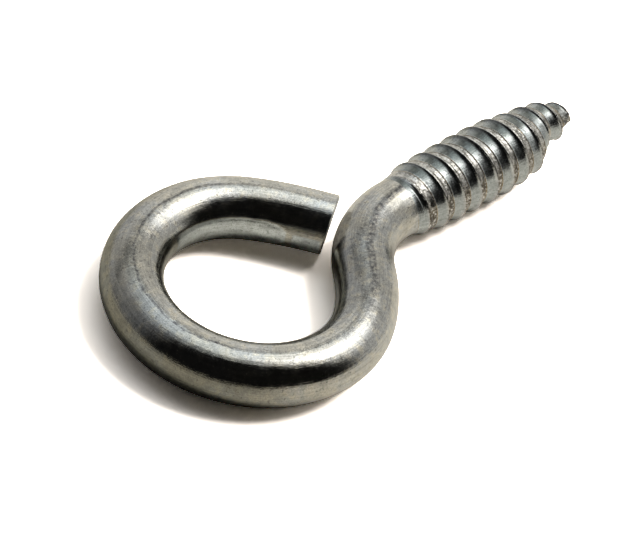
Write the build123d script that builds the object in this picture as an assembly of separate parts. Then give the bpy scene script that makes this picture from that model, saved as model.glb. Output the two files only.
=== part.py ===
from build123d import *
from math import cos, degrees, radians, sin
import os

# Screw-in eye bolt bent from one round wire. It lies flat: the eye is in the XY plane with its
# centre at the origin, the shank points along +X and +Z is square to the eye. Millimetres.

# Driving dimensions
wire_radius = 4.0
thread_pitch = 3.0
crest_radius = 5.1
root_radius = 4.2

# The eye, clockwise from the neck, as (radius of the wire's centre line, degrees of turn).
# It was closed by hand over a mandrel, so its three stretches differ a little.
eye_arcs = ((14.4, 72.7), (14.9, 111.6), (14.25, 76.0))
eye_start_angle = -52.6
front_arc_centre_y = -0.4
free_end_radius = 45.4
free_end_length = 10.8
cut_edge_chamfer = 0.25

# The neck, from the eye to the shank
neck_opening_radius = 25.7
neck_opening_turn = 17.5
neck_straight = 0.7
reverse_bend_radius = 14.1

# Stations along the shank
runout_end = 30.0
thread_end = 49.5
first_crest = 32.5
ridge_start_turn = -1.75
ridge_end_turn = 8.0
sections_per_turn = 12
crest_land = 0.3
far_flank_run = 0.65
near_break_run = 0.2
near_foot_run = 1.1
near_break_height = 0.45
buried_depth = 0.8

# Shoulder where the wire swells into the thread: (station, core radius)
shoulder = ((28.0, 4.25), (31.0, root_radius))

# Crest radius of the ridge: (station, radius)
crest_profile = (
    (27.2, 4.3),
    (29.6, 4.8),
    (33.0, 5.0),
    (39.0, crest_radius),
    (42.0, crest_radius),
    (45.0, 5.0),
    (thread_end, 4.5),
)

# Pinched gimlet point, a little off the shank's axis: (station, offset, core radius, crest radius)
point_direction = 33.0
point_sections = (
    (thread_end, 0.0, root_radius, 4.5),
    (51.5, 0.4, 3.3, 3.95),
    (54.0, 0.75, 2.45, 3.1),
    (56.0, 0.75, 1.65, 2.3),
    (57.6, 0.5, 0.95, 1.5),
    (58.8, 0.35, 0.3, 0.35),
)


def wire_section(x, y, heading):
    """Round face of the wire at a point of its centre line."""
    direction = Vector(cos(heading), sin(heading), 0)
    return Plane(origin=(x, y, 0), z_dir=direction) * Circle(wire_radius)


def bent_wire(x, y, heading, radius, turn):
    """Bend the wire in the XY plane, to the left when turn is positive.

    Gives the solid, the end of its centre line and the heading there.
    """
    side = 1 if turn > 0 else -1
    centre_x = x - side * radius * sin(heading)
    centre_y = y + side * radius * cos(heading)
    axis = Axis((centre_x, centre_y, 0), (0, 0, side))
    solid = revolve(wire_section(x, y, heading), axis, revolution_arc=degrees(abs(turn)))
    end_heading = heading + turn
    end_x = centre_x + side * radius * sin(end_heading)
    end_y = centre_y - side * radius * cos(end_heading)
    return solid, end_x, end_y, end_heading


def straight_wire(x, y, heading, length):
    """Straight run of wire. Gives the solid and the end of its centre line."""
    solid = extrude(wire_section(x, y, heading), amount=length)
    return solid, x + length * cos(heading), y + length * sin(heading)


def eye_start():
    """Point where the eye meets the neck, and its angle about the eye's front arc."""
    start = radians(eye_start_angle)
    radius = eye_arcs[0][0]
    return radius * cos(start), front_arc_centre_y + radius * sin(start), start


def make_eye():
    """Eye loop and the free end that nearly closes it."""
    x, y, start = eye_start()
    heading = start - radians(90)
    eye = None
    for radius, turn in eye_arcs:
        arc, x, y, heading = bent_wire(x, y, heading, radius, -radians(turn))
        eye = arc if eye is None else eye + arc
    end_turn = -free_end_length / free_end_radius
    free_end, x, y, heading = bent_wire(x, y, heading, free_end_radius, end_turn)
    cut_face = free_end.faces().sort_by_distance((x, y, 0))[0]
    return eye, chamfer(cut_face.edges(), cut_edge_chamfer)


def make_neck():
    """Neck from the eye to the shank. Gives the solid and the end of its centre line."""
    x, y, start = eye_start()
    heading = start + radians(90)
    opening, x, y, heading = bent_wire(
        x, y, heading, neck_opening_radius, radians(neck_opening_turn)
    )
    straight, x, y = straight_wire(x, y, heading, neck_straight)
    reverse, x, y, heading = bent_wire(x, y, heading, reverse_bend_radius, -heading)
    return opening + straight + reverse, x, y


def interpolate(profile, station, column):
    """Value of one column of a profile at a station along the shank."""
    before = profile[0]
    for row in profile:
        if row[0] >= station:
            span = row[0] - before[0]
            share = (station - before[0]) / span if span else 0
            return before[column] + share * (row[column] - before[column])
        before = row
    return before[column]


def core_at(station, shank_start):
    """Offset of the core's centre and its radius at a station."""
    if station > thread_end:
        return interpolate(point_sections, station, 1), interpolate(point_sections, station, 2)
    profile = ((shank_start, wire_radius),) + shoulder
    return 0, interpolate(profile, station, 1)


def ridge_section(turn, shank_y, shank_start):
    """Outline of the thread ridge after a number of turns, in the plane of the axis."""
    station = first_crest + thread_pitch * turn
    angle = radians(360 * turn)
    offset, core = core_at(station, shank_start)
    if station > thread_end:
        crest = interpolate(point_sections, station, 3)
    else:
        crest = interpolate(crest_profile, station, 1)
    height = crest - core
    size = min(1, height / (crest_radius - root_radius))
    half_land = crest_land / 2
    foot = -half_land - size * (near_break_run + near_foot_run)
    outline = (
        (foot, -buried_depth),
        (foot, 0),
        (-half_land - size * near_break_run, height * near_break_height),
        (-half_land, height),
        (half_land, height),
        (half_land + size * far_flank_run, -buried_depth),
    )
    centre_y = shank_y + offset * cos(radians(point_direction))
    centre_z = offset * sin(radians(point_direction))
    corners = []
    for along, above in outline:
        reach = core + above
        corners.append((station + along, centre_y + reach * cos(angle), centre_z + reach * sin(angle)))
    return Wire.make_polygon(corners, close=True)


def make_threaded_shank(shank_start, shank_y):
    """Shoulder, threaded core, helical ridge and gimlet point as one solid."""
    outline = [(shank_start, 0), (shank_start, wire_radius)]
    outline += list(shoulder)
    outline += [(thread_end, root_radius), (thread_end, 0)]
    half = make_face(Polyline(*outline, close=True))
    core = Pos(0, shank_y, 0) * revolve(half, Axis.X)

    rings = []
    for station, offset, radius, _ in point_sections:
        centre_y = shank_y + offset * cos(radians(point_direction))
        centre_z = offset * sin(radians(point_direction))
        rings.append(Plane(origin=(station, centre_y, centre_z), z_dir=(1, 0, 0)) * Circle(radius))
    point = loft(rings, ruled=True)

    steps = int((ridge_end_turn - ridge_start_turn) * sections_per_turn)
    turns = [ridge_start_turn + step / sections_per_turn for step in range(steps + 1)]
    sections = [ridge_section(turn, shank_y, shank_start) for turn in turns]
    shank = core + point
    for first in range(0, steps, sections_per_turn):
        shank += Solid.make_loft(sections[first : first + sections_per_turn + 1])
    return shank


def slice_between(solid, start, end):
    """Length of a solid between two stations."""
    width = 4 * crest_radius
    block = Pos((start + end) / 2, 0, 0) * Box(end - start, width, width)
    return solid & block


os.makedirs("parts", exist_ok=True)
eye_loop, free_end = make_eye()
neck_bend, shank_start, shank_y = make_neck()
threaded_shank = make_threaded_shank(shank_start, shank_y)
shank_tip = point_sections[-1][0]

nodes = {
    "eye_loop": eye_loop,
    "free_end": free_end,
    "neck_bend": neck_bend,
    "thread_runout": slice_between(threaded_shank, shank_start, runout_end),
    "lag_thread": slice_between(threaded_shank, runout_end, thread_end),
    "screw_point": slice_between(threaded_shank, thread_end, shank_tip + 1),
}
print("shank starts at", round(shank_start, 3), "and lies at y", round(shank_y, 3))
for name, solid in nodes.items():
    export_step(solid, f"parts/{name}.step")
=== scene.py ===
from math import cos, pi, radians, sin

import bpy
import numpy as np
from mathutils import Matrix, Vector


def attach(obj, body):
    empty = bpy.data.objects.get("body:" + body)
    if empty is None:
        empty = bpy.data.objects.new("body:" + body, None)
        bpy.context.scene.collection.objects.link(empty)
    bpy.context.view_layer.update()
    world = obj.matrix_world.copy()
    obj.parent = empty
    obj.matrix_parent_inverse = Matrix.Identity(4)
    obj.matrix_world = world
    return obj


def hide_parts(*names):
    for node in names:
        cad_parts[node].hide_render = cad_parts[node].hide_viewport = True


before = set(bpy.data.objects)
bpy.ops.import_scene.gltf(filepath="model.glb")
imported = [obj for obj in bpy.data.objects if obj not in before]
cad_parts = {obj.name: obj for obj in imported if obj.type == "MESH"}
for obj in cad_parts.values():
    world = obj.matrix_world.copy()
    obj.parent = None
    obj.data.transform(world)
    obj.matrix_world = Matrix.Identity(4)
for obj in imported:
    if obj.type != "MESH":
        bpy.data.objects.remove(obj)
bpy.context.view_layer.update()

MM = 0.001

# Screw-in eye bolt of one bent, thread-rolled and zinc-plated wire. It lies flat: the eye is in
# the XY plane with its centre at the origin and the shank points along +X. The shape is worked
# out in mm, and MM makes it metres.

# ---------------------------------------------------------------- driving dimensions, mm
wire_radius = 4.0
thread_pitch = 3.0
crest_radius = 5.1
root_radius = 4.5
eye_arcs = ((14.4, 72.7), (14.9, 111.6), (14.25, 76.0))
eye_start_angle = -52.6
front_arc_centre_y = -0.4
free_end_radius = 45.4
free_end_length = 10.8
cut_edge_chamfer = 0.25
cut_face_lean = 0.075
neck_opening_radius = 25.7
neck_opening_turn = 17.5
neck_straight = 0.7
reverse_bend_radius = 14.1
runout_end = 30.0
thread_end = 49.5
shank_tip = 58.8
first_crest = 32.4
point_direction = 33.0

# Stations where the floor touches the bolt: under the eye's far left, and under the thread
eye_rest_x = -14.9
thread_rest_x = 46.0

# ---------------------------------------------------------------- numpy helpers
def smooth_step(low, high, value):
    """0 at low, 1 at high, level at both ends."""
    t = np.clip((value - low) / (high - low), 0.0, 1.0)
    return t * t * (3.0 - 2.0 * t)


def bell(value, centre, width):
    """1 at the centre, falling away on both sides."""
    return np.exp(-(((value - centre) / width) ** 2))


def smooth_profile(rows, value):
    """Hermite curve through (place, height) rows, without overshoot."""
    places = np.array([row[0] for row in rows], float)
    heights = np.array([row[1] for row in rows], float)
    slopes = np.diff(heights) / np.diff(places)
    tangents = np.zeros(len(rows))
    same = slopes[:-1] * slopes[1:] > 0
    inner = np.zeros(len(slopes) - 1)
    inner[same] = 2 * slopes[:-1][same] * slopes[1:][same] / (slopes[:-1][same] + slopes[1:][same])
    tangents[1:-1] = inner
    value = np.clip(value, places[0], places[-1])
    i = np.clip(np.searchsorted(places, value, side="right") - 1, 0, len(rows) - 2)
    span = places[i + 1] - places[i]
    t = (value - places[i]) / span
    return (
        heights[i] * (1 + 2 * t) * (1 - t) ** 2
        + tangents[i] * span * t * (1 - t) ** 2
        + heights[i + 1] * t * t * (3 - 2 * t)
        + tangents[i + 1] * span * t * t * (t - 1)
    )


lattice = np.random.RandomState(7).uniform(-1.0, 1.0, (64, 64, 64))


def lumps(points, size, seed=0):
    """Smooth value noise from -1 to 1 at points (n, 3), with lumps about size across."""
    p = points / size + 17.3 * seed + 500.0
    cell = np.floor(p).astype(int)
    f = p - cell
    f = f * f * (3.0 - 2.0 * f)
    total = np.zeros(len(points))
    for dx in (0, 1):
        for dy in (0, 1):
            for dz in (0, 1):
                weight = (
                    (f[:, 0] if dx else 1 - f[:, 0])
                    * (f[:, 1] if dy else 1 - f[:, 1])
                    * (f[:, 2] if dz else 1 - f[:, 2])
                )
                total += weight * lattice[
                    (cell[:, 0] + dx) % 64, (cell[:, 1] + dy) % 64, (cell[:, 2] + dz) % 64
                ]
    return total


# ---------------------------------------------------------------- the wire's centre line
def arc_points(x, y, heading, radius, turn, count):
    """Rows (x, y, heading) along an arc that bends to the left when turn is positive."""
    side = 1 if turn > 0 else -1
    centre_x = x - side * radius * sin(heading)
    centre_y = y + side * radius * cos(heading)
    angles = heading + np.linspace(0, turn, count + 1)
    arc_x = centre_x + side * radius * np.sin(angles)
    arc_y = centre_y - side * radius * np.cos(angles)
    return np.stack([arc_x, arc_y, angles], 1)


# Spacing of the wire's rings along the eye, and their number in each stretch of the neck
ring_step = 0.33
opening_rings = 24
straight_rings = 2
reverse_rings = 42


def wire_line():
    """Centre line from the cut end to the shank, as rows (x, y, heading, distance).

    Also gives the ring numbers where the free end meets the eye and the eye meets the neck.
    """
    start = radians(eye_start_angle)
    start_x = eye_arcs[0][0] * cos(start)
    start_y = front_arc_centre_y + eye_arcs[0][0] * sin(start)
    rows = [np.array([[start_x, start_y, start - pi / 2]])]
    free_end_turn = free_end_length / free_end_radius * 180 / pi
    for radius, turn in eye_arcs + ((free_end_radius, free_end_turn),):
        x, y, heading = rows[-1][-1]
        count = int(round(radius * radians(turn) / ring_step))
        rows.append(arc_points(x, y, heading, radius, -radians(turn), count)[1:])
    # turned around, so that it starts at the cut end
    whole = np.concatenate(rows)[::-1].copy()
    whole[:, 2] += pi
    eye_first = len(rows[-1])
    eye_last = len(whole) - 1
    x, y, heading = start_x, start_y, start + pi / 2
    turn = radians(neck_opening_turn)
    opening = arc_points(x, y, heading, neck_opening_radius, turn, opening_rings)[1:]
    x, y, heading = opening[-1]
    step = np.array([[(k + 1) * neck_straight / straight_rings] for k in range(straight_rings)])
    columns = [x + step * cos(heading), y + step * sin(heading), step * 0 + heading]
    straight = np.concatenate(columns, 1)
    x, y, heading = straight[-1]
    reverse = arc_points(x, y, heading, reverse_bend_radius, -heading, reverse_rings)[1:]
    line = np.concatenate([whole, opening, straight, reverse])
    gaps = np.hypot(np.diff(line[:, 0]), np.diff(line[:, 1]))
    distance = np.concatenate([[0], np.cumsum(gaps)])
    return np.column_stack([line, distance]), eye_first, eye_last


line, eye_first, eye_last = wire_line()
shank_start, shank_y = line[-1, 0], line[-1, 1]
around_wire = 144
wire_angles = np.linspace(0, 2 * pi, around_wire, endpoint=False)
# Length before the shank over which the wire's unevenness dies away
uneven_fade = 2.0

# Flats that the mandrel pressed into the inside of the eye, near the free end. Angles go about the
# wire from its outer side, over the crown, and distances run along it from the cut end.
flat_depth = 0.12
long_flat_angle = radians(184)
long_flat_half_angle = radians(28)
long_flat_distance = 15.2
long_flat_half_length = 10.2
long_flat_corner = 9.0
long_flat_corner_length = 3.9
short_flat_angle = radians(192)
short_flat_half_angle = radians(19)
short_flat_distance = 2.4
short_flat_half_length = 2.1


def flat_share(turn, distance):
    """How deep in a flat a place on the wire is, from 0 outside to 1 in its middle."""
    off = np.abs(turn - long_flat_angle) / long_flat_half_angle
    along = np.abs(distance - long_flat_distance) / long_flat_half_length
    corner = np.clip(long_flat_corner - distance, 0, None) / long_flat_corner_length
    rounded_end = (off**2.5 + corner**2.5) ** 0.4
    long_flat = np.maximum(np.maximum(off, along), rounded_end)
    off = np.abs(turn - short_flat_angle) / short_flat_half_angle
    along = np.abs(distance - short_flat_distance) / short_flat_half_length
    nearest = np.minimum(long_flat, np.maximum(off, along))
    edge = smooth_step(1.0, 0.93, nearest)
    return edge * (0.35 + 0.65 * np.cos(np.clip(nearest, 0, 1) * pi / 2))


def wire_surface():
    """Grid of points (rings, around, 3) on the bent wire, and their outward normals."""
    heading = line[:, 2][:, None]
    side_x, side_y = np.sin(heading), -np.cos(heading)
    turn = wire_angles[None, :]
    out = np.stack([side_x * np.cos(turn), side_y * np.cos(turn), np.sin(turn) + 0 * side_x], 2)
    centre = np.stack([line[:, 0], line[:, 1], 0 * line[:, 0]], 1)[:, None, :]
    plain = centre + wire_radius * out
    places = plain.reshape(-1, 3)
    fade = smooth_step(0.0, uneven_fade, line[-1, 3] - line[:, 3])[:, None]
    # long unevenness from the bending, and shorter dents
    waves = lumps(places, 6.0, 1) * 0.035 + lumps(places, 2.3, 2) * 0.014
    flats = flat_share(turn, line[:, 3][:, None]) * flat_depth
    depth = waves.reshape(out.shape[:2]) * fade - flats
    points = plain + out * depth[..., None]
    along = np.gradient(points, axis=0)
    wrapped = np.concatenate([points[:, -1:], points, points[:, :1]], 1)
    across = (wrapped[:, 2:] - wrapped[:, :-2]) / 2
    normal = np.cross(along, across)
    normal /= np.linalg.norm(normal, axis=2, keepdims=True)
    return points, normal


# ---------------------------------------------------------------- the threaded shank
# Radius of the core and of the ridge's crest: (station along the shank, radius)
core_rows = (
    (shank_start, 4.0),
    (26.8, 4.07),
    (28.0, 4.28),
    (29.2, 4.43),
    (31.0, root_radius),
    (45.5, root_radius),
    (48.0, 4.22),
    (49.5, 3.95),
    (51.0, 3.60),
    (52.5, 3.10),
    (54.0, 2.70),
    (55.0, 2.35),
    (56.0, 1.80),
    (57.0, 1.50),
    (58.0, 1.00),
    (58.8, 0.25),
)
crest_rows = (
    (26.0, 4.0),
    (27.2, 4.27),
    (28.2, 4.55),
    (29.6, 4.82),
    (31.0, 4.93),
    (33.0, 5.02),
    (36.0, 5.08),
    (39.0, 5.13),
    (42.0, 5.12),
    (45.0, 5.0),
    (48.0, 4.64),
    (49.5, 4.45),
    (51.0, 4.10),
    (52.5, 3.60),
    (54.0, 3.15),
    (55.5, 2.70),
    (57.0, 2.05),
    (57.8, 1.55),
    (58.4, 0.90),
    (58.8, 0.30),
)
# How far the point's middle is off the shank's axis: (station, offset)
offset_rows = (
    (thread_end, 0.0),
    (51.0, 0.3),
    (52.5, 0.6),
    (54.0, 0.75),
    (56.0, 0.75),
    (57.6, 0.5),
    (shank_tip, 0.35),
)
# One pitch of the rolled profile: (distance from the crest's middle, share of the ridge's height)
ridge_rows = (
    (-1.50, 0.04),
    (-1.20, 0.10),
    (-0.90, 0.18),
    (-0.70, 0.25),
    (-0.50, 0.34),
    (-0.40, 0.41),
    (-0.32, 0.48),
    (-0.25, 0.57),
    (-0.20, 0.68),
    (-0.15, 0.83),
    (-0.10, 0.96),
    (-0.05, 1.00),
    (0.03, 0.97),
    (0.12, 1.00),
    (0.21, 0.88),
    (0.36, 0.50),
    (0.52, 0.15),
    (0.68, 0.03),
    (0.90, 0.00),
    (1.25, 0.00),
    (1.30, 0.05),
    (1.33, 0.12),
    (1.37, 0.07),
    (1.50, 0.04),
)
ridge_first_turn = -2.15
ridge_last_turn = 8.6
# The point is pinched, so its lower side drops away after the last full turn
pinch_station = 52.6
pinch_width = 1.25
pinch_depth = 1.25
# Fine groove before the first turn, placed by its distance from the crest and its turn
groove_away = -0.5
groove_turn = -1.6
groove_depth = 0.07
# Seam rolled into the last crests
seam_away = 0.03
seam_depth = 0.12
# Zinc gathers ragged behind the last full turn and at the tip
ragged_station = 52.0
ragged_width = 0.7
smallest_reach = 0.05
around_shank = 240
# Turns that the mesh covers, from before the shank to past its tip
first_row, last_row = -4, 12
# Where the mesh has its columns across one pitch, closest together where the profile bends
columns = (
    -1.50, -1.40, -1.28, -1.16, -1.04, -0.92, -0.80, -0.69, -0.59,
    -0.50, -0.42, -0.35, -0.29, -0.24, -0.20, -0.16, -0.12, -0.08, -0.04,
    0.02, 0.08, 0.14, 0.19, 0.24, 0.31, 0.39, 0.49, 0.60, 0.74,
    0.90, 1.05, 1.18, 1.26, 1.30, 1.33, 1.37,
)


def thread_place(x, angle):
    """Distance along the shank from the nearest crest, and that crest's turn number."""
    pitches = (x - first_crest) / thread_pitch - angle / (2 * pi)
    nearest = np.round(pitches)
    return (pitches - nearest) * thread_pitch, nearest + angle / (2 * pi)


def shank_points(x, angle):
    """Points on the shank's surface and how rough it is there, 0 to 1.

    x is the station along the shank and angle goes about it from +Y to +Z.
    """
    away, turn = thread_place(x, angle)
    core = smooth_profile(core_rows, x)
    crest = smooth_profile(crest_rows, x)
    height = np.maximum(crest - core, 0.0)
    grow = smooth_step(ridge_first_turn, ridge_first_turn + 0.5, turn)
    fall = 1.0 - smooth_step(ridge_last_turn - 0.3, ridge_last_turn, turn)
    share = smooth_profile(ridge_rows, away)
    reach = core + height * share * grow * fall
    # under is 1 on the point's lower side and 0 on its upper side
    tilt = radians(point_direction)
    under = (0.5 - 0.5 * np.cos(angle - tilt)) ** 1.5
    reach = reach - pinch_depth * bell(x, pinch_station, pinch_width) * under
    reach = reach - groove_depth * bell(away, groove_away, 0.07) * bell(turn, groove_turn, 0.12)
    seam = smooth_step(47.0, 50.0, x) * smooth_step(56.0, 55.0, x)
    reach = reach - seam_depth * seam * bell(away, seam_away, 0.07)
    offset = smooth_profile(offset_rows, x)
    # the crest and the root wear rough, and the near flank stays smooth
    rough = smooth_step(-0.12, -0.02, away) * smooth_step(1.38, 1.34, away) * grow
    plain = np.stack([x, reach * np.cos(angle), reach * np.sin(angle)], 1)
    pits = lumps(plain, 0.26, 3) * 0.022 + lumps(plain, 0.7, 4) * 0.014
    waves = lumps(plain, 2.3, 2) * 0.014
    ends = smooth_step(shank_start, shank_start + 1.0, x)
    uneven = pits * (0.12 + 0.88 * rough) + waves
    reach = reach + uneven * ends * smooth_step(shank_tip, shank_tip - 0.8, x)
    # ragged zinc at the tip, along the point's lower side and behind the last full turn
    ragged = lumps(plain, 0.5, 5) * 0.20 + lumps(plain, 0.28, 6) * 0.10
    point = np.maximum(smooth_step(56.6, 57.6, x), smooth_step(54.6, 56.0, x) * under)
    point = np.maximum(point, 0.6 * bell(x, ragged_station, ragged_width) * under)
    reach = reach + ragged * point * smooth_step(shank_tip, shank_tip - 0.3, x)
    reach = np.maximum(reach, smallest_reach)
    centre_y = shank_y + offset * cos(tilt)
    centre_z = offset * sin(tilt)
    points = np.stack([x, centre_y + reach * np.cos(angle), centre_z + reach * np.sin(angle)], 1)
    return points, np.maximum(rough, point)


def shank_normals(x, angle):
    """Outward normals of the shank's surface, from its slope over a short step."""
    step = 0.015
    turn = step / wire_radius
    along = shank_points(x + step, angle)[0] - shank_points(x - step, angle)[0]
    across = shank_points(x, angle + turn)[0] - shank_points(x, angle - turn)[0]
    normal = np.cross(across, along)
    length = np.linalg.norm(normal, axis=1, keepdims=True)
    return normal / np.maximum(length, 1e-12)


# ---------------------------------------------------------------- mesh objects
def mesh_object(name, points, faces, corner_normals, values, material, node):
    """One piece of the object.

    corner_normals come one per vertex or one per face corner. values are named numbers per
    vertex, for the material.
    """
    mesh = bpy.data.meshes.new(name)
    mesh.from_pydata((points * MM).tolist(), [], faces)
    mesh.update()
    mesh.shade_smooth()
    for label, numbers in values.items():
        kind = "FLOAT_VECTOR" if numbers.ndim == 2 else "FLOAT"
        layer = mesh.attributes.new(label, kind, "POINT")
        layer.data.foreach_set("vector" if kind == "FLOAT_VECTOR" else "value", numbers.ravel())
    loops = np.zeros(len(mesh.loops), int)
    mesh.loops.foreach_get("vertex_index", loops)
    if corner_normals.shape[0] == len(points):
        corner_normals = corner_normals[loops]
    mesh.normals_split_custom_set(corner_normals.tolist())
    mesh.materials.append(material)
    piece = bpy.data.objects.new(name, mesh)
    bpy.context.scene.collection.objects.link(piece)
    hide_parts(node)
    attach(piece, "root")
    return piece


def ring_band(first, second, count, fanned=False):
    """Faces inward from one ring of vertices to the next, or to a single vertex if fanned."""
    faces = []
    for j in range(count):
        k = (j + 1) % count
        if fanned:
            faces.append((first + j, first + k, second))
        else:
            faces.append((first + j, first + k, second + k, second + j))
    return faces


saw_mark_depth = 0.03
cut_ring_shares = (0.93, 0.8, 0.6, 0.4, 0.2)


def cut_face_rows(edge, out):
    """Rings of points across the cut face, from inside its chamfer to its middle."""
    centre = np.array([line[0, 0], line[0, 1], 0.0])
    rows = [edge + (centre - edge) * (cut_edge_chamfer / wire_radius)]
    for share in cut_ring_shares:
        ring = centre + (edge - centre) * share
        marks = 0.02 * np.sin(ring[:, 2] * 9.0 + lumps(ring, 1.2, 8) * 3)
        marks = marks + 0.03 * lumps(ring, 1.1, 9)
        rows.append(ring - out * np.clip(saw_mark_depth + marks, 0, 0.1)[:, None])
    rows.append((centre - out * saw_mark_depth)[None, :])
    return rows


def wire_piece(name, points, normals, first, last, material, node, capped=False):
    """Piece of the bent wire from one ring to another, with the cut face if capped."""
    count = around_wire
    grid = points[first : last + 1].reshape(-1, 3)
    outward = normals[first : last + 1].reshape(-1, 3)
    rings = last - first + 1
    distance = np.repeat(line[first : last + 1, 3], count)
    angle = np.tile(wire_angles, rings)
    faces = []
    for i in range(rings - 1):
        near, far = i * count, (i + 1) * count
        for j in range(count):
            k = (j + 1) % count
            faces.append((near + j, far + j, far + k, near + k))
    flat_faces = []
    if capped:
        out = -np.array([cos(line[0, 2]), sin(line[0, 2]), 0.0])
        edge = grid[:count] + out * (grid[:count, 2] * cut_face_lean)[:, None]
        grid[:count] = edge - out * cut_edge_chamfer
        rows = cut_face_rows(edge, out)
        starts = [0] + [len(grid) + count * level for level in range(len(rows))]
        for level in range(len(rows)):
            fanned = level == len(rows) - 1
            flat_faces += ring_band(starts[level], starts[level + 1], count, fanned)
        grid = np.concatenate([grid] + rows)
        distance = np.concatenate([distance, np.zeros(len(grid) - len(distance))])
        angle = np.concatenate([angle] + [wire_angles] * (len(rows) - 1) + [np.zeros(1)])
    corner = [outward[v] for face in faces for v in face]
    for face in flat_faces:
        p = grid[list(face)]
        flat = np.cross(p[1] - p[0], p[2] - p[0])
        corner.extend([flat / np.linalg.norm(flat)] * len(face))
    run = np.stack([np.cos(angle) * wire_radius, np.sin(angle) * wire_radius, distance], 1)
    cut = (np.arange(len(grid)) >= rings * count).astype(float)
    pressed = np.where(cut > 0, 0.0, smooth_step(0.05, 0.3, flat_share(angle, distance)))
    values = {"run": run, "cut": cut, "pressed": pressed}
    faces += flat_faces
    return mesh_object(name, grid, faces, np.array(corner), values, material, node)


# Columns closer than this to a piece's end are taken as its end ring
end_margin = 0.004


def shank_piece(name, start, end, material, node, closed=False):
    """Piece of the threaded shank between two stations, on a grid that follows the helix."""
    count = around_shank
    turns = range(first_row, last_row)
    columns_x = np.array([first_crest + thread_pitch * t + c for t in turns for c in columns])
    per_turn = len(columns)
    angles = np.arange(count + 1) * 2 * pi / count
    x = columns_x[:, None] + thread_pitch * angles[None, :] / (2 * pi)
    # what runs past an end is gathered on to that end's own ring
    low, high = x <= start + end_margin, x >= end - end_margin
    number = np.arange(x.size).reshape(x.shape)
    number[:-per_turn, -1] = number[per_turn:, 0]
    column_ring = np.arange(count + 1) % count
    low_ring = x.size + column_ring
    high_ring = x.size + count + column_ring
    number = np.where(low, low_ring[None, :], number)
    number = np.where(high, high_ring[None, :], number)
    inside = (x > start - thread_pitch) & (x < end + thread_pitch)
    # quads that lie on an end ring lose the corners that fall together
    faces = []
    for i in range(len(columns_x) - 1):
        if not inside[i].any():
            continue
        for j in range(count):
            quad = (number[i, j], number[i, j + 1], number[i + 1, j + 1], number[i + 1, j])
            kept = []
            for v in quad:
                if not kept or (v != kept[-1] and v != kept[0]):
                    kept.append(v)
            if len(kept) >= 3:
                faces.append(tuple(kept))
    place_x = np.concatenate([x.ravel(), np.full(count, start), np.full(count, end)])
    place_a = np.concatenate([np.tile(angles, len(columns_x)), angles[:-1], angles[:-1]])
    used = np.unique(np.concatenate([np.array(face) for face in faces]))
    renumber = np.zeros(len(place_x), int)
    renumber[used] = np.arange(len(used))
    faces = [tuple(int(renumber[v]) for v in face) for face in faces]
    place_x, place_a = place_x[used], place_a[used]
    points, rough = shank_points(place_x, place_a)
    normals = shank_normals(place_x, place_a)
    if closed:
        # a low cone over the open ring at the tip
        tip = renumber[x.size + count : x.size + 2 * count]
        centre = points[tip].mean(0) + np.array([0.05, 0, 0])
        points = np.concatenate([points, centre[None, :]])
        normals = np.concatenate([normals, np.array([[1.0, 0, 0]])])
        rough = np.append(rough, 1.0)
        place_x = np.append(place_x, end)
        place_a = np.append(place_a, 0.0)
        last = len(points) - 1
        for j in range(count):
            faces.append((int(tip[j]), int(tip[(j + 1) % count]), last))
    run = np.stack([np.cos(place_a) * wire_radius, np.sin(place_a) * wire_radius, place_x], 1)
    away, turn = thread_place(place_x, place_a)
    values = {"run": run, "root": rough, "away": away}
    return mesh_object(name, points, faces, normals, values, material, node)


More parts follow.
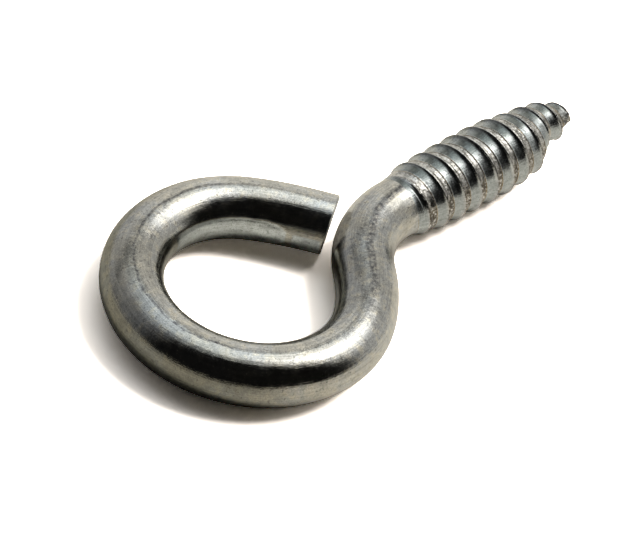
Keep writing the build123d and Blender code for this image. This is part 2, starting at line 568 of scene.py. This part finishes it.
# ---------------------------------------------------------------- materials
class Nodes:
    """Short way to write a node tree. A value may be a number, a colour or a node's output."""

    def __init__(self, tree):
        self.tree = tree
        tree.nodes.clear()

    def add(self, kind, inputs=None, **settings):
        """New node. inputs gives values by the socket's label or number."""
        node = self.tree.nodes.new(kind)
        for label, value in settings.items():
            setattr(node, label, value)
        for label, value in (inputs or {}).items():
            socket = node.inputs[label]
            if isinstance(value, bpy.types.NodeSocket):
                self.tree.links.new(value, socket)
            elif socket.type == "RGBA":
                socket.default_value = (*value, 1.0)
            else:
                socket.default_value = value
        return node

    def attribute(self, name):
        return self.add("ShaderNodeAttribute", attribute_name=name).outputs["Fac"]

    def math(self, operation, a, b=0.0):
        return self.add("ShaderNodeMath", {0: a, 1: b}, operation=operation).outputs[0]

    def plus(self, a, b):
        return self.math("ADD", a, b)

    def times(self, *values):
        """Product of two or more values."""
        product = values[0]
        for value in values[1:]:
            product = self.math("MULTIPLY", product, value)
        return product

    def ramp(self, value, low, high, from_value=0.0, to_value=1.0, smooth=True):
        """from_value at low and to_value at high, level outside them."""
        inputs = {
            "Value": value,
            "From Min": low,
            "From Max": high,
            "To Min": from_value,
            "To Max": to_value,
        }
        kind = "SMOOTHSTEP" if smooth else "LINEAR"
        return self.add("ShaderNodeMapRange", inputs, interpolation_type=kind).outputs["Result"]

    def noise(self, vector, scale, detail, roughness):
        inputs = {"Vector": vector, "Scale": scale, "Detail": detail, "Roughness": roughness}
        return self.add("ShaderNodeTexNoise", inputs).outputs["Fac"]

    def scaled(self, vector, factors):
        node = self.add("ShaderNodeVectorMath", {0: vector, 1: factors}, operation="MULTIPLY")
        return node.outputs["Vector"]

    def dot(self, vector, other):
        node = self.add("ShaderNodeVectorMath", {0: vector, 1: other}, operation="DOT_PRODUCT")
        return node.outputs["Value"]

    def parts(self, vector):
        return self.add("ShaderNodeSeparateXYZ", {0: vector}).outputs

    def mix(self, factor, a, b, blend="MIX"):
        """Colour a with b over it."""
        settings = {"data_type": "RGBA", "blend_type": blend, "clamp_factor": True}
        return self.add("ShaderNodeMix", {0: factor, 6: a, 7: b}, **settings).outputs[2]

    def filtered(self, colour, by):
        """One colour multiplied by another."""
        return self.mix(1.0, colour, by, "MULTIPLY")

    def grey(self, value):
        return self.add("ShaderNodeCombineColor", {0: value, 1: value, 2: value}).outputs[0]

    def bump(self, height, strength, distance, under=None):
        """Normal of a bumpy surface, distance in mm, on top of another bump if given."""
        inputs = {"Strength": strength, "Distance": distance * MM, "Height": height}
        if under is not None:
            inputs["Normal"] = under
        return self.add("ShaderNodeBump", inputs).outputs["Normal"]


def thread_look(n, tint, rough, run, place, mottle):
    """Tint, metal and roughness of the rolled thread, over the plain plating's."""
    root = n.attribute("root")
    away = n.attribute("away")
    toward_y, toward_z, _ = n.parts(run)
    tint = n.mix(0.7, tint, (0.50, 0.525, 0.54))
    # crests and root: worn pale, with painted shade on the sides and underside, and light and dark
    # flecks
    worn = n.mix(n.ramp(mottle, 0.42, 0.58), (0.42, 0.41, 0.38), (0.64, 0.63, 0.60))
    # painted shade: the crests and root turn dark brown low on the sides, standing in for the
    # shadowed floor they reflect
    painted_underside_shade = n.mix(n.ramp(mottle, 0.4, 0.65), (0.12, 0.105, 0.085), (0.27, 0.245, 0.20))
    worn = n.mix(n.ramp(toward_z, 2.7, 1.3), worn, painted_underside_shade)
    flecks = n.noise(place, 2600.0, 3.0, 0.7)
    worn = n.mix(n.ramp(flecks, 0.52, 0.62), worn, (0.78, 0.77, 0.74))
    worn = n.mix(n.ramp(flecks, 0.42, 0.34), worn, (0.14, 0.13, 0.11))
    # near flank: smooth, with painted shade along the top, a dimmer reflection painted into its
    # tint
    painted_top_shade = n.times(n.ramp(toward_y, -1.5, -0.4), n.ramp(toward_y, 2.2, 1.0))
    painted_top_shade = n.times(painted_top_shade, n.ramp(mottle, 0.25, 0.55, 0.55, 1.0))
    flank = n.mix(painted_top_shade, (0.45, 0.485, 0.49), (0.20, 0.22, 0.21))
    on_flank = n.ramp(away, -0.12, -0.4)
    tint = n.mix(on_flank, tint, flank)
    rough = n.plus(rough, n.times(on_flank, 0.11))
    tint = n.mix(root, tint, worn)
    rough = n.plus(rough, n.times(root, 0.17))
    # brown seam lip between two turns
    lip = n.times(n.ramp(away, 1.28, 1.32), n.ramp(away, 1.40, 1.36))
    tint = n.mix(lip, tint, (0.42, 0.33, 0.2))
    return tint, 1.0, rough


def wire_look(n, tint, rough, run, place):
    """Tint, metal and roughness of the bent wire, over the plain plating's."""
    cut = n.attribute("cut")
    tint = n.mix(cut, tint, (0.62, 0.60, 0.56))
    metal = n.ramp(cut, 0.0, 1.0, 1.0, 0.4)
    pressed = n.attribute("pressed")
    # painted reflection: the real pressed flats are tinted lighter and bluer, standing in for the
    # bright floor they reflect
    tint = n.mix(pressed, tint, (0.74, 0.79, 0.80))
    rough = n.plus(rough, n.times(pressed, 0.06))
    # dark line painted along the crown: on the eye a painted reflection of the dark gap beside the
    # softbox, on the neck a wider, speckled streak of wear
    outward, upward, distance = n.parts(run)
    turned = n.math("ARCTAN2", upward, outward)
    wobble = n.noise(n.scaled(run, (0.0, 0.0, 0.16)), 1.0, 3.0, 0.6)
    middle = n.ramp(wobble, 0.3, 0.7, 1.42, 1.60, smooth=False)
    off = n.math("ABSOLUTE", n.math("SUBTRACT", turned, middle))
    neck = n.ramp(distance, 72.0, 80.0)
    width = n.plus(0.06, n.times(neck, 0.13))
    crown_reflection_and_wear = n.ramp(n.math("DIVIDE", off, width), 1.0, 0.25)
    crown_reflection_and_wear = n.times(crown_reflection_and_wear, n.ramp(n.noise(place, 2000.0, 3.0, 0.7), 0.38, 0.58, 0.95, 0.25))
    crown_reflection_and_wear = n.times(crown_reflection_and_wear, n.ramp(distance, 12.0, 17.0))
    crown_reflection_and_wear = n.times(crown_reflection_and_wear, n.math("MAXIMUM", neck, n.ramp(distance, 58.0, 52.0)))
    # the crown line darkens the tint: painted reflection on the eye, wear on the neck
    tint = n.mix(n.times(crown_reflection_and_wear, 0.95), tint, (0.13, 0.13, 0.14))
    rough = n.plus(rough, n.times(cut, 0.35))
    return tint, metal, rough


def zinc(name, thread=False):
    """Bright zinc plating over drawn steel wire, or over the rolled thread."""
    material = bpy.data.materials.new(name)
    material.use_nodes = True
    n = Nodes(material.node_tree)
    run = n.add("ShaderNodeAttribute", attribute_name="run").outputs["Vector"]
    place = n.add("ShaderNodeTexCoord").outputs["Object"]
    # the plating's unevenness from fine to coarse, and streaks along the drawn wire
    grain = n.noise(place, 5200.0, 3.0, 0.7)
    specks = n.noise(place, 2300.0, 2.0, 0.6)
    mottle = n.noise(place, 900.0, 3.0, 0.6)
    cloud = n.noise(place, 160.0, 3.0, 0.55)
    drawn = n.noise(n.scaled(run, (4.5, 4.5, 0.1)), 1.0, 4.0, 0.65)
    tint = n.mix(n.ramp(cloud, 0.4, 0.62), (0.56, 0.55, 0.50), (0.53, 0.54, 0.53))
    tint = n.mix(n.ramp(mottle, 0.45, 0.7), tint, (0.58, 0.555, 0.48))
    rough = n.plus(n.ramp(mottle, 0.3, 0.7, 0.06, 0.15), n.ramp(cloud, 0.35, 0.65, -0.01, 0.06))
    if thread:
        tint, metal, rough = thread_look(n, tint, rough, run, place, mottle)
    else:
        tint, metal, rough = wire_look(n, tint, rough, run, place)
    shade = n.times(
        n.ramp(grain, 0.34, 0.66, 0.80, 1.10),
        n.ramp(specks, 0.60, 0.68, 1.0, 0.62),
        n.ramp(mottle, 0.3, 0.66, 0.84, 1.1),
        n.ramp(cloud, 0.40, 0.62, 0.93, 1.03),
    )
    tint = n.filtered(tint, n.grey(shade))
    tint = n.filtered(tint, n.grey(n.ramp(drawn, 0.40, 0.58, 0.86, 1.05)))
    normal = n.bump(grain, 0.3, 0.03)
    normal = n.bump(mottle, 0.45, 0.06, normal)
    normal = n.bump(drawn, 0.4, 0.04, normal)
    inputs = {"Base Color": tint, "Metallic": metal, "Roughness": rough, "Normal": normal}
    shader = n.add("ShaderNodeBsdfPrincipled", inputs)
    n.add("ShaderNodeOutputMaterial", {"Surface": shader.outputs[0]})
    return material


wire_zinc = zinc("wire_zinc")
thread_zinc = zinc("thread_zinc", thread=True)
point_zinc = zinc("point_zinc", thread=True)

# ---------------------------------------------------------------- the six pieces
wire = wire_surface()
wire_piece("free_end_wire", *wire, 0, eye_first, wire_zinc, "free_end", capped=True)
wire_piece("eye_wire", *wire, eye_first, eye_last, wire_zinc, "eye_loop")
wire_piece("neck_wire", *wire, eye_last, len(line) - 1, wire_zinc, "neck_bend")
shank_piece("runout", shank_start, runout_end, thread_zinc, "thread_runout")
shank_piece("thread", runout_end, thread_end, thread_zinc, "lag_thread")
point_end = shank_tip - 0.05
shank_piece("point", thread_end, point_end, point_zinc, "screw_point", closed=True)


# ---------------------------------------------------------------- camera
def direction(turn, height):
    """Level turn about Z and height over the floor, as a unit vector."""
    return Vector((sin(turn) * cos(height), -cos(turn) * cos(height), sin(height)))


camera_turn = radians(-52.390)
camera_height = radians(43.158)
camera_roll = radians(13.387)
camera_distance = 441.647
level_right = Vector((cos(camera_turn), sin(camera_turn), 0.0))
camera_back = direction(camera_turn, camera_height)
level_up = camera_back.cross(level_right)
right = level_right * cos(camera_roll) + level_up * sin(camera_roll)
up = level_up * cos(camera_roll) - level_right * sin(camera_roll)
aim = Vector((10.207, -2.092, 0.0)) * MM
camera_data = bpy.data.cameras.new("camera")
camera_data.lens = 198.556
camera_data.sensor_width = 36.0
camera_data.clip_start = 0.01
camera_data.clip_end = 20.0
camera = bpy.data.objects.new("camera", camera_data)
camera_place = Matrix((right, up, camera_back)).transposed().to_4x4()
camera_place.translation = aim + camera_back * camera_distance * MM
camera.matrix_world = camera_place
bpy.context.scene.collection.objects.link(camera)
bpy.context.scene.camera = camera

# ---------------------------------------------------------------- floor
# It is slightly tilted, so that the eye's wire and the thread's thicker crests both rest on it.
floor_slope = (crest_radius - wire_radius) / (thread_rest_x - eye_rest_x)
floor_half = 900.0
floor_gap = 0.02
floor_points = []
for x, y in ((-1, -1), (1, -1), (1, 1), (-1, 1)):
    floor_z = -wire_radius - floor_slope * (x * floor_half - eye_rest_x) - floor_gap
    floor_points.append((x * floor_half * MM, y * floor_half * MM, floor_z * MM))
floor_mesh = bpy.data.meshes.new("floor")
floor_mesh.from_pydata(floor_points, [], [(0, 1, 2, 3)])
floor = bpy.data.objects.new("floor", floor_mesh)
bpy.context.scene.collection.objects.link(floor)
# White to the camera, while the bolt sees dull paper, darker on the side away from the light
floor_material = bpy.data.materials.new("floor_white")
floor_material.use_nodes = True
n = Nodes(floor_material.node_tree)
seen = n.add("ShaderNodeLightPath").outputs["Is Camera Ray"]
bright = n.add("ShaderNodeBsdfDiffuse", {"Color": (3.1, 2.9, 2.75)})
spot = n.add("ShaderNodeTexCoord").outputs["Object"]
lit_side = n.dot(spot, (0.925, -0.38, 0.0))
paper_tint = n.mix(n.ramp(lit_side, -0.018, 0.018), (0.24, 0.23, 0.19), (0.60, 0.575, 0.52))
inputs = {"Base Color": paper_tint, "Roughness": 0.5, "Specular IOR Level": 0.12}
paper = n.add("ShaderNodeBsdfPrincipled", inputs)
shader = n.add("ShaderNodeMixShader", {0: seen, 1: paper.outputs[0], 2: bright.outputs[0]})
n.add("ShaderNodeOutputMaterial", {"Surface": shader.outputs[0]})
floor_mesh.materials.append(floor_material)

# ---------------------------------------------------------------- key light
# It gives the floor its shadows and leaves no shine on the zinc.
key = bpy.data.lights.new("key", "SUN")
key.energy = 3.4
key.angle = radians(30)
key.color = (1.0, 0.97, 0.92)
key_lamp = bpy.data.objects.new("key", key)
key_way = direction(camera_turn + radians(125), radians(50))
key_lamp.rotation_euler = key_way.to_track_quat("Z", "Y").to_euler()
key_lamp.visible_glossy = False
bpy.context.scene.collection.objects.link(key_lamp)

# ---------------------------------------------------------------- studio light, as the world
world = bpy.data.worlds.new("studio")
bpy.context.scene.world = world
world.use_nodes = True
n = Nodes(world.node_tree)
way = n.add("ShaderNodeTexCoord").outputs["Generated"]
toward = n.dot(way, (sin(camera_turn), -cos(camera_turn), 0.0))
across = n.dot(way, tuple(level_right))
height = n.dot(way, (0.0, 0.0, 1.0))
beyond = n.times(toward, -1.0)
# the softbox, seen as a window in a ceiling one unit up
ceiling = n.math("MAXIMUM", height, 0.02)
box_u = n.math("DIVIDE", across, ceiling)
box_v = n.math("DIVIDE", beyond, ceiling)
near_edge = n.math("SUBTRACT", box_v, n.ramp(box_u, 0.2, 0.5, 0.0, 0.03))
box = n.times(
    n.ramp(near_edge, -0.19, 0.33),
    n.ramp(box_v, 1.2, 0.68),
    n.ramp(box_u, -0.95, -0.5),
    n.ramp(box_u, 2.0, 1.5),
)
power = n.plus(n.ramp(box_u, -0.5, 0.1, 0.28, 0.73), n.ramp(box_u, 0.0, 0.35, 0.0, 0.42))
power = n.times(power, n.ramp(box_u, 1.65, 0.4, 0.33, 1.15))
bright_core = n.times(
    n.ramp(box_u, 0.2, 0.45),
    n.ramp(box_u, 0.85, 0.55),
    n.ramp(box_v, 0.1, 0.3),
    n.ramp(box_v, 0.7, 0.5),
)
power = n.plus(power, n.times(bright_core, 1.3))
lamp_tint = n.mix(n.ramp(box_u, -0.1, 0.25), (0.92, 0.98, 1.0), (1.0, 0.98, 0.94))
lamp = n.filtered(n.grey(power), lamp_tint)
# the pale backdrop behind and to the sides
turned = n.math("ARCTAN2", across, beyond)
off_middle = n.math("ABSOLUTE", n.plus(turned, 0.08))
backdrop = n.plus(n.ramp(turned, -1.9, -0.3, 0.08, 0.29), n.ramp(off_middle, 0.5, 0.05, 0.0, 0.2))
dark_edge = n.plus(toward, n.times(n.math("MINIMUM", across, 0.0), 0.45))
backdrop = n.times(backdrop, n.ramp(dark_edge, 0.16, -0.28))
backdrop = n.math("MAXIMUM", backdrop, 0.004)
backdrop_tint = n.mix(n.ramp(turned, -1.4, -0.2), (1.0, 1.0, 1.0), (1.0, 0.98, 0.92))
light = n.mix(box, n.filtered(n.grey(backdrop), backdrop_tint), lamp)
# the dark gap between the softbox and the backdrop
gap_middle = n.ramp(box_u, 0.66, 4.66, 1.07, -0.13, smooth=False)
gap_off = n.math("ABSOLUTE", n.math("SUBTRACT", box_v, gap_middle))
gap_width = n.ramp(box_u, 0.0, 0.6, 0.2, 0.1)
gap = n.ramp(n.math("DIVIDE", gap_off, gap_width), 1.0, 0.3, 0.0, 0.8)
light = n.mix(gap, light, (0.02, 0.02, 0.02))
# plain white to the camera
seen = n.add("ShaderNodeLightPath").outputs["Is Camera Ray"]
light = n.mix(seen, light, (1.0, 1.0, 1.0))
strength = n.ramp(seen, 0.0, 1.0, 1.92, 1.0)
background = n.add("ShaderNodeBackground", {"Color": light, "Strength": strength})
n.add("ShaderNodeOutputWorld", {"Surface": background.outputs[0]})

bpy.context.scene.view_settings.view_transform = "Standard"
